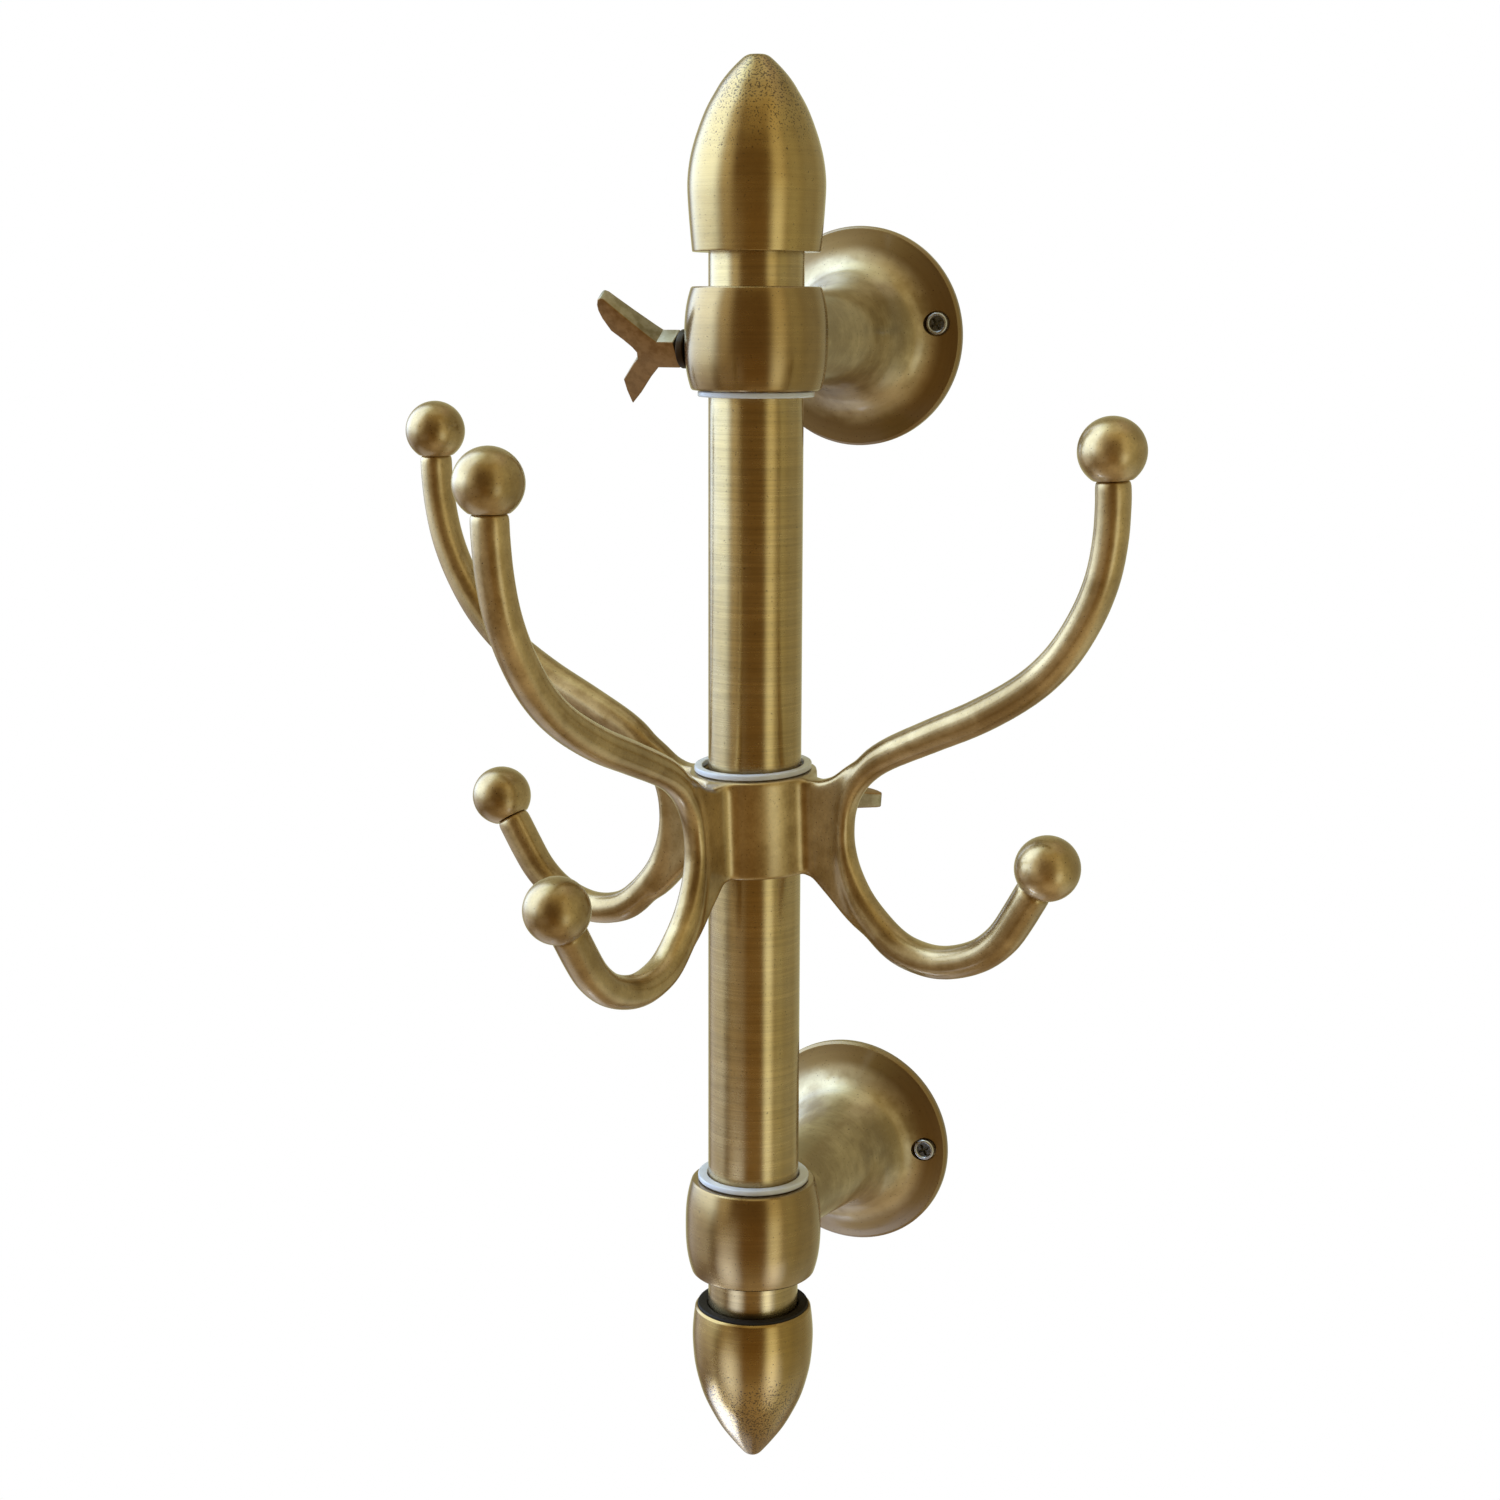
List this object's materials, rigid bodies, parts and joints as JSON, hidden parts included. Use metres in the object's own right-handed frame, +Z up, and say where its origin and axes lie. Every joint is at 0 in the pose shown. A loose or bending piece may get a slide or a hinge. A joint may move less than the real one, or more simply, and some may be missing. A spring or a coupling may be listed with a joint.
{
  "type": "wall coat rack",
  "caption": "Wall coat rack: a round post held off the wall by bell-flanged brackets, with a cast ring of double ball-end hooks that slides and turns on it.",
  "frame": {"origin": "middle of the upper flange's back face, on the wall", "axes": "+Z up along the post, +Y into the wall (the room is at -Y), +X to the right of someone who faces the wall"},
  "size_m": [0.2857, 0.2616, 0.4901],
  "materials": {
    "brushed_brass": "aged, brushed round the turned pieces",
    "cast_brass": "aged, hand polished casting",
    "wing_bronze": "dark aged, dull",
    "screw_steel": "satin",
    "washer_plastic": "milky, slightly translucent",
    "seal_rubber": "black, satin"
  },
  "bodies": {
    "brackets": {"upper_collar": "brushed_brass", "lower_collar": "brushed_brass", "upper_wall_flange": "brushed_brass", "lower_wall_flange": "brushed_brass", "upper_joint_screw": "screw_steel", "lower_joint_screw": "screw_steel", "upper_wall_screw_left": "screw_steel", "upper_wall_screw_right": "screw_steel", "lower_wall_screw_left": "screw_steel", "lower_wall_screw_right": "screw_steel", "lower_washer": "washer_plastic"},
    "upper_washer": {"upper_washer": "washer_plastic"},
    "post": {"post_tube": "brushed_brass", "upper_finial": "brushed_brass", "lower_finial": "brushed_brass", "upper_tube_plug": "screw_steel", "lower_tube_plug": "screw_steel", "mouth_seal": "seal_rubber"},
    "hook_washer": {"hook_washer": "washer_plastic"},
    "hooks": {"hook_casting": "cast_brass", "right_upper_ball": "cast_brass", "right_lower_ball": "cast_brass", "front_upper_ball": "cast_brass", "front_lower_ball": "cast_brass", "left_upper_ball": "cast_brass", "left_lower_ball": "cast_brass"},
    "bracket_stud": {"bracket_screw_stud": "screw_steel"},
    "bracket_wing": {"bracket_wing_head": "wing_bronze"},
    "hook_stud": {"hook_screw_stud": "screw_steel"},
    "hook_wing": {"hook_wing_head": "wing_bronze"}
  },
  "joints": [
    {"name": "post_turn", "type": "hinge", "parent": "brackets", "child": "upper_washer", "pos_m": [0, -0.0985, 0], "axis": [0, 0, 1], "range_deg": [-12, 12]},
    {"name": "post_slide", "type": "slide", "parent": "upper_washer", "child": "post", "axis": [0, 0, 1], "range_m": [-0.011, 0.0115]},
    {"name": "hook_slide", "type": "slide", "parent": "post", "child": "hook_washer", "axis": [0, 0, 1], "range_m": [-0.09, 0.085]},
    {"name": "hook_turn", "type": "hinge", "parent": "hook_washer", "child": "hooks", "pos_m": [0, -0.0985, -0.163], "axis": [-0.0139, -0.0488, 0.9987], "range_deg": [-22, 42]},
    {"name": "bracket_screw_travel", "type": "slide", "parent": "brackets", "child": "bracket_stud", "axis": [-1, 0, 0], "range_m": [0, 0.002]},
    {"name": "bracket_screw_turn", "type": "hinge", "parent": "bracket_stud", "child": "bracket_wing", "pos_m": [-0.04, -0.0985, -0.0036], "axis": [-1, 0, 0], "range_deg": [0, 720]},
    {"name": "hook_screw_travel", "type": "slide", "parent": "hooks", "child": "hook_stud", "axis": [0.173, 0.9836, 0.0505], "range_m": [0, 0.002]},
    {"name": "hook_screw_turn", "type": "hinge", "parent": "hook_stud", "child": "hook_wing", "pos_m": [0, -0.0985, -0.163], "axis": [0.173, 0.9836, 0.0505], "range_deg": [0, 720]}
  ],
  "couplings": [
    {"joint": "bracket_screw_travel", "follows": "bracket_screw_turn", "m_per_rad": 0.00015915},
    {"joint": "hook_screw_travel", "follows": "hook_screw_turn", "m_per_rad": 0.00015915}
  ]
}
